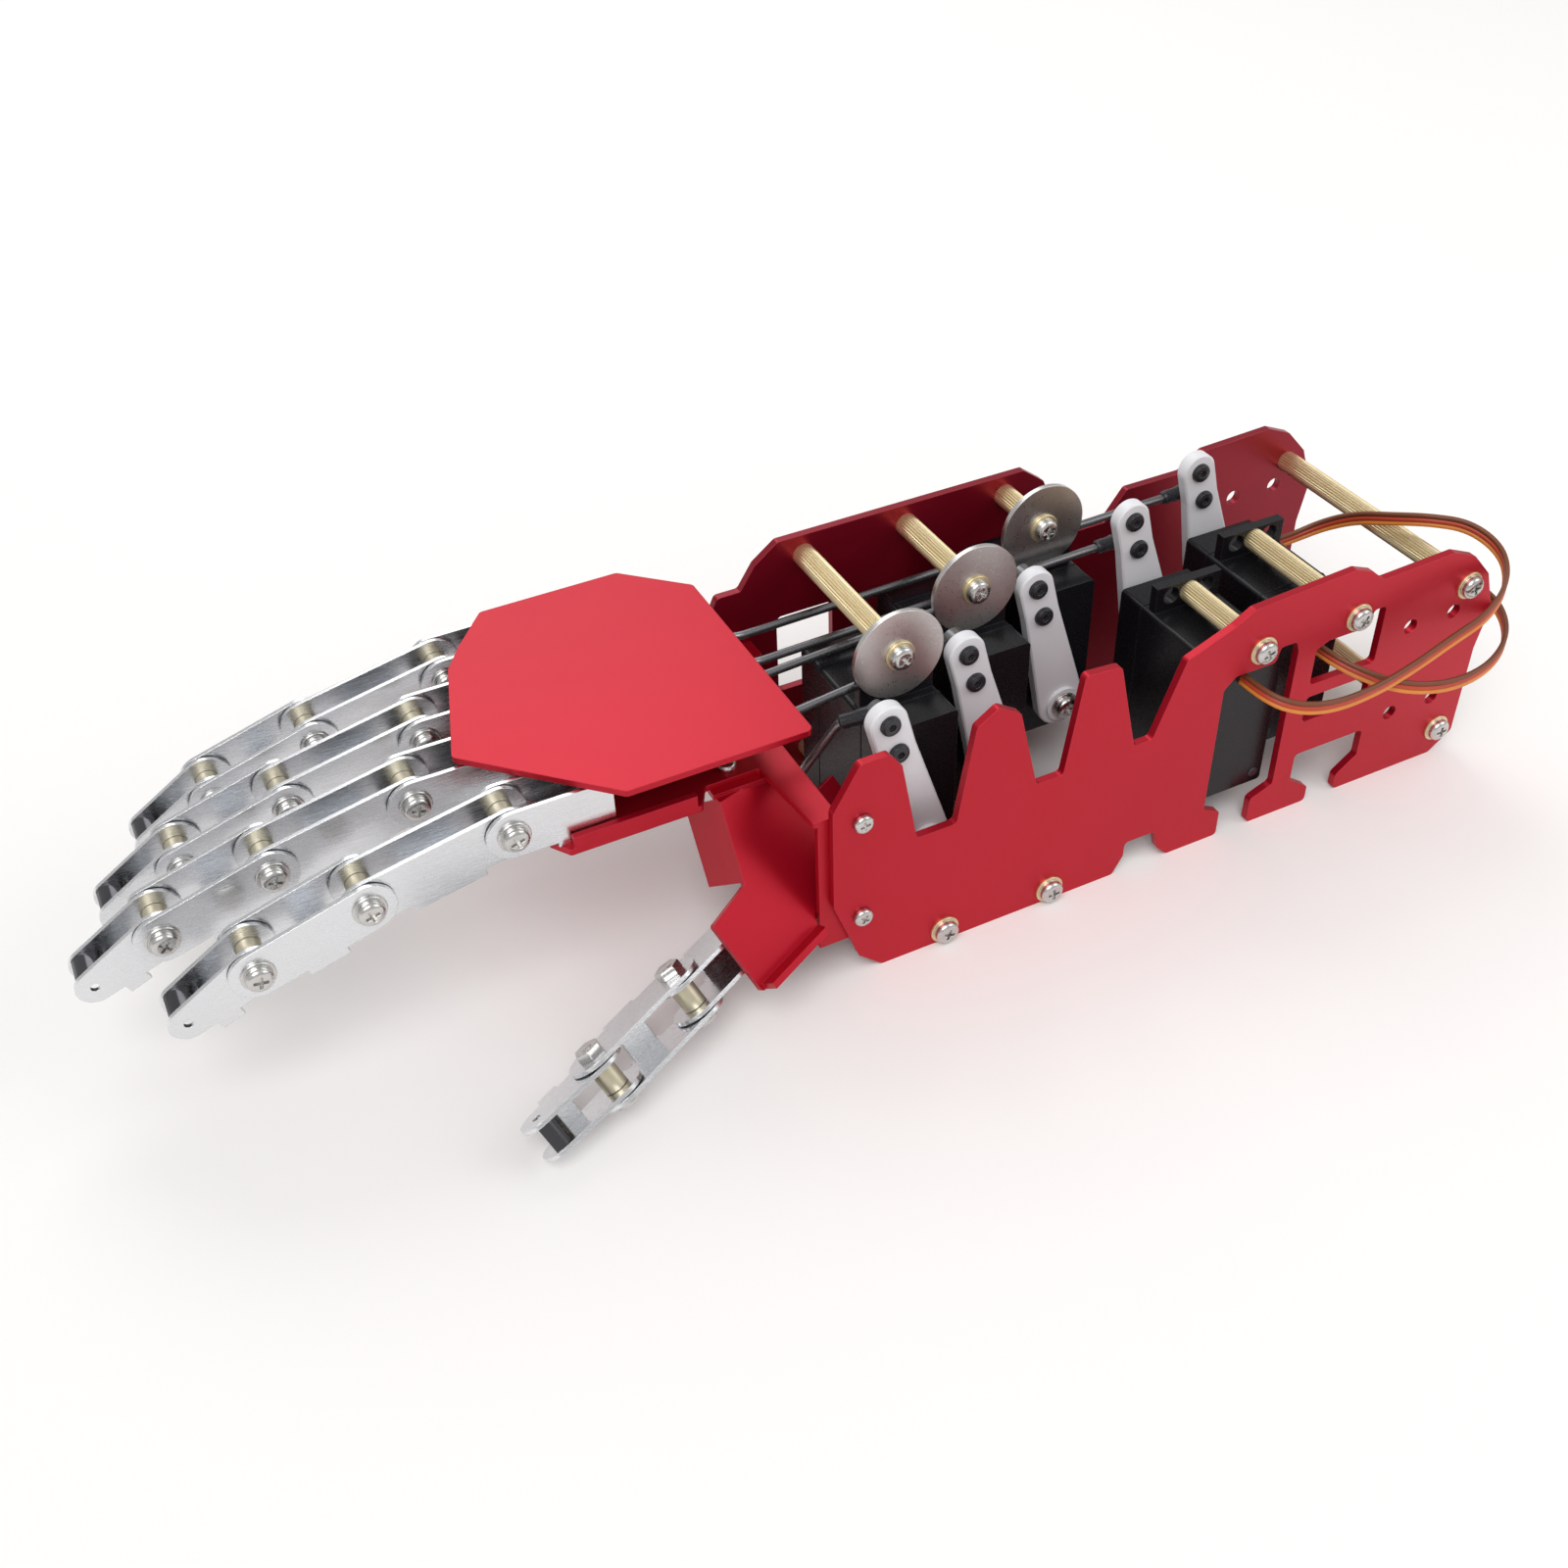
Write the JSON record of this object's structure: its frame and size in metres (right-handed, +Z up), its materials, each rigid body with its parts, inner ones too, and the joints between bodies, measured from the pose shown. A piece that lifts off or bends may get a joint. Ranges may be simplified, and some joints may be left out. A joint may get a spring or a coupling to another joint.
{
  "type": "robotic hand",
  "caption": "Robotic hand on an open forearm: servo levers pull steel rods that curl the linked fingers and thumb.",
  "frame": {"origin": "on the surface under the middle of the whole hand's box", "axes": "+X along the forearm, away from the fingers, +Z up, +Y from the near plate to the far plate"},
  "size_m": [0.339, 0.113, 0.0785],
  "materials": {
    "red_paint": "red anodised sheet, satin",
    "brass": "turned brass",
    "steel": "zinc plated steel",
    "servo_case": "black moulded case",
    "white_plastic": "white moulded lever",
    "aluminium": "folded sheet, satin",
    "lead": "flat ribbon lead"
  },
  "bodies": {
    "frame": {"near_side_plate": "red_paint", "far_side_plate": "red_paint", "frame_standoffs": "brass", "servo_posts": "brass", "clamp_discs": "steel", "frame_screws": "steel", "palm_base": "red_paint", "palm_cover": "red_paint", "palm_posts": "brass", "outer_lead": "lead", "inner_lead": "lead", "thumb_bracket": "red_paint", "root_channels": "aluminium", "knuckle_screws": "steel", "knuckle_bushes": "brass", "servo_1": "servo_case", "servo_2": "servo_case", "servo_3": "servo_case", "servo_4": "servo_case", "servo_5": "servo_case"},
    "thumb_proximal": {"thumb_proximal": "aluminium"},
    "thumb_middle": {"thumb_middle": "aluminium", "thumb_bushes": "brass", "thumb_screws": "steel"},
    "thumb_tip": {"thumb_tip": "aluminium"},
    "index_proximal": {"index_proximal": "aluminium"},
    "index_middle": {"index_middle": "aluminium", "index_bushes": "brass", "index_screws": "steel"},
    "index_tip": {"index_tip": "aluminium"},
    "middle_proximal": {"middle_proximal": "aluminium"},
    "middle_middle": {"middle_middle": "aluminium", "middle_bushes": "brass", "middle_screws": "steel"},
    "middle_tip": {"middle_tip": "aluminium"},
    "ring_proximal": {"ring_proximal": "aluminium"},
    "ring_middle": {"ring_middle": "aluminium", "ring_bushes": "brass", "ring_screws": "steel"},
    "ring_tip": {"ring_tip": "aluminium"},
    "little_proximal": {"little_proximal": "aluminium"},
    "little_middle": {"little_middle": "aluminium", "little_bushes": "brass", "little_screws": "steel"},
    "little_tip": {"little_tip": "aluminium"},
    "lever_1": {"lever_1": "white_plastic", "servo_shaft_1": "brass"},
    "pull_rod_1": {"pull_rod_1": "steel"},
    "lever_2": {"lever_2": "white_plastic", "servo_shaft_2": "brass"},
    "pull_rod_2": {"pull_rod_2": "steel"},
    "lever_3": {"lever_3": "white_plastic", "servo_shaft_3": "brass"},
    "pull_rod_3": {"pull_rod_3": "steel"},
    "lever_4": {"lever_4": "white_plastic", "servo_shaft_4": "brass"},
    "pull_rod_4": {"pull_rod_4": "steel"},
    "lever_5": {"lever_5": "white_plastic", "servo_shaft_5": "brass"},
    "pull_rod_5": {"pull_rod_5": "steel"}
  },
  "joints": [
    {"name": "thumb_knuckle", "type": "hinge", "parent": "frame", "child": "thumb_proximal", "pos_m": [-0.02224, -0.0222, 0.0194], "axis": [0.3579, -0.522, -0.7742], "range_deg": [0, 65]},
    {"name": "thumb_middle_joint", "type": "hinge", "parent": "thumb_proximal", "child": "thumb_middle", "pos_m": [-0.0512, -0.03494, 0.0146], "axis": [0.3579, -0.522, -0.7742], "range_deg": [0, 65]},
    {"name": "thumb_tip_joint", "type": "hinge", "parent": "thumb_middle", "child": "thumb_tip", "pos_m": [-0.07382, -0.04489, 0.01085], "axis": [0.3579, -0.522, -0.7742], "range_deg": [0, 45.5]},
    {"name": "index_knuckle", "type": "hinge", "parent": "frame", "child": "index_proximal", "pos_m": [-0.07734, -0.0084, 0.0545], "axis": [0, -1, 0], "range_deg": [0, 65]},
    {"name": "index_middle_joint", "type": "hinge", "parent": "index_proximal", "child": "index_middle", "pos_m": [-0.10869, -0.0084, 0.04812], "axis": [0, -1, 0], "range_deg": [0, 65]},
    {"name": "index_tip_joint", "type": "hinge", "parent": "index_middle", "child": "index_tip", "pos_m": [-0.13267, -0.0084, 0.04102], "axis": [0, -1, 0], "range_deg": [0, 45.5]},
    {"name": "middle_knuckle", "type": "hinge", "parent": "frame", "child": "middle_proximal", "pos_m": [-0.09224, 0.0106, 0.0545], "axis": [0, -1, 0], "range_deg": [0, 65]},
    {"name": "middle_middle_joint", "type": "hinge", "parent": "middle_proximal", "child": "middle_middle", "pos_m": [-0.12359, 0.0106, 0.04812], "axis": [0, -1, 0], "range_deg": [0, 65]},
    {"name": "middle_tip_joint", "type": "hinge", "parent": "middle_middle", "child": "middle_tip", "pos_m": [-0.14757, 0.0106, 0.04102], "axis": [0, -1, 0], "range_deg": [0, 45.5]},
    {"name": "ring_knuckle", "type": "hinge", "parent": "frame", "child": "ring_proximal", "pos_m": [-0.08404, 0.0296, 0.0545], "axis": [0, -1, 0], "range_deg": [0, 65]},
    {"name": "ring_middle_joint", "type": "hinge", "parent": "ring_proximal", "child": "ring_middle", "pos_m": [-0.11539, 0.0296, 0.04812], "axis": [0, -1, 0], "range_deg": [0, 65]},
    {"name": "ring_tip_joint", "type": "hinge", "parent": "ring_middle", "child": "ring_tip", "pos_m": [-0.13936, 0.0296, 0.04102], "axis": [0, -1, 0], "range_deg": [0, 45.5]},
    {"name": "little_knuckle", "type": "hinge", "parent": "frame", "child": "little_proximal", "pos_m": [-0.07314, 0.0486, 0.0545], "axis": [0, -1, 0], "range_deg": [0, 65]},
    {"name": "little_middle_joint", "type": "hinge", "parent": "little_proximal", "child": "little_middle", "pos_m": [-0.1045, 0.0486, 0.04812], "axis": [0, -1, 0], "range_deg": [0, 65]},
    {"name": "little_tip_joint", "type": "hinge", "parent": "little_middle", "child": "little_tip", "pos_m": [-0.12846, 0.0486, 0.04102], "axis": [0, -1, 0], "range_deg": [0, 45.5]},
    {"name": "lever_1_turn", "type": "hinge", "parent": "frame", "child": "lever_1", "pos_m": [0.01286, -0.0229, 0.0245], "axis": [0, 1, 0], "range_deg": [0, 8.05]},
    {"name": "pull_rod_1_pivot", "type": "hinge", "parent": "lever_1", "child": "pull_rod_1", "pos_m": [0.00303, -0.0204, 0.0612], "axis": [-0.2487, 0.9552, 0.1608], "range_deg": [-8.78, 0]},
    {"name": "lever_2_turn", "type": "hinge", "parent": "frame", "child": "lever_2", "pos_m": [0.04036, -0.0091, 0.0245], "axis": [0, 1, 0], "range_deg": [0, 9.23]},
    {"name": "pull_rod_2_pivot", "type": "hinge", "parent": "lever_2", "child": "pull_rod_2", "pos_m": [0.03053, -0.0066, 0.0612], "axis": [0, 1, 0], "range_deg": [-9.8, 0]},
    {"name": "lever_3_turn", "type": "hinge", "parent": "frame", "child": "lever_3", "pos_m": [0.06786, 0.0054, 0.0245], "axis": [0, 1, 0], "range_deg": [0, 9.26]},
    {"name": "pull_rod_3_pivot", "type": "hinge", "parent": "lever_3", "child": "pull_rod_3", "pos_m": [0.05803, 0.0079, 0.0612], "axis": [0, 1, 0], "range_deg": [-9.67, 0]},
    {"name": "lever_4_turn", "type": "hinge", "parent": "frame", "child": "lever_4", "pos_m": [0.09536, 0.0077, 0.0401], "axis": [0, 1, 0], "range_deg": [0, 17.62]},
    {"name": "pull_rod_4_pivot", "type": "hinge", "parent": "lever_4", "child": "pull_rod_4", "pos_m": [0.09019, 0.0132, 0.05942], "axis": [0, 1, 0], "range_deg": [-17.83, 0]},
    {"name": "lever_5_turn", "type": "hinge", "parent": "frame", "child": "lever_5", "pos_m": [0.12286, 0.0187, 0.0401], "axis": [0, 1, 0], "range_deg": [0, 17.62]},
    {"name": "pull_rod_5_pivot", "type": "hinge", "parent": "lever_5", "child": "pull_rod_5", "pos_m": [0.11769, 0.0242, 0.05942], "axis": [0, 1, 0], "range_deg": [-17.81, 0]}
  ],
  "couplings": [
    {"joint": "thumb_middle_joint", "follows": "thumb_knuckle", "ratio": 1},
    {"joint": "thumb_tip_joint", "follows": "thumb_knuckle", "ratio": 0.7},
    {"joint": "index_middle_joint", "follows": "index_knuckle", "ratio": 1},
    {"joint": "index_tip_joint", "follows": "index_knuckle", "ratio": 0.7},
    {"joint": "middle_middle_joint", "follows": "middle_knuckle", "ratio": 1},
    {"joint": "middle_tip_joint", "follows": "middle_knuckle", "ratio": 0.7},
    {"joint": "ring_middle_joint", "follows": "ring_knuckle", "ratio": 1},
    {"joint": "ring_tip_joint", "follows": "ring_knuckle", "ratio": 0.7},
    {"joint": "little_middle_joint", "follows": "little_knuckle", "ratio": 1},
    {"joint": "little_tip_joint", "follows": "little_knuckle", "ratio": 0.7},
    {"joint": "lever_1_turn", "follows": "thumb_knuckle", "ratio": 0.12385},
    {"joint": "pull_rod_1_pivot", "follows": "thumb_knuckle", "ratio": -0.13499},
    {"joint": "lever_2_turn", "follows": "index_knuckle", "ratio": 0.14192},
    {"joint": "pull_rod_2_pivot", "follows": "index_knuckle", "ratio": -0.15067},
    {"joint": "lever_3_turn", "follows": "middle_knuckle", "ratio": 0.14236},
    {"joint": "pull_rod_3_pivot", "follows": "middle_knuckle", "ratio": -0.14871},
    {"joint": "lever_4_turn", "follows": "ring_knuckle", "ratio": 0.27105},
    {"joint": "pull_rod_4_pivot", "follows": "ring_knuckle", "ratio": -0.27431},
    {"joint": "lever_5_turn", "follows": "little_knuckle", "ratio": 0.27105},
    {"joint": "pull_rod_5_pivot", "follows": "little_knuckle", "ratio": -0.27401}
  ]
}
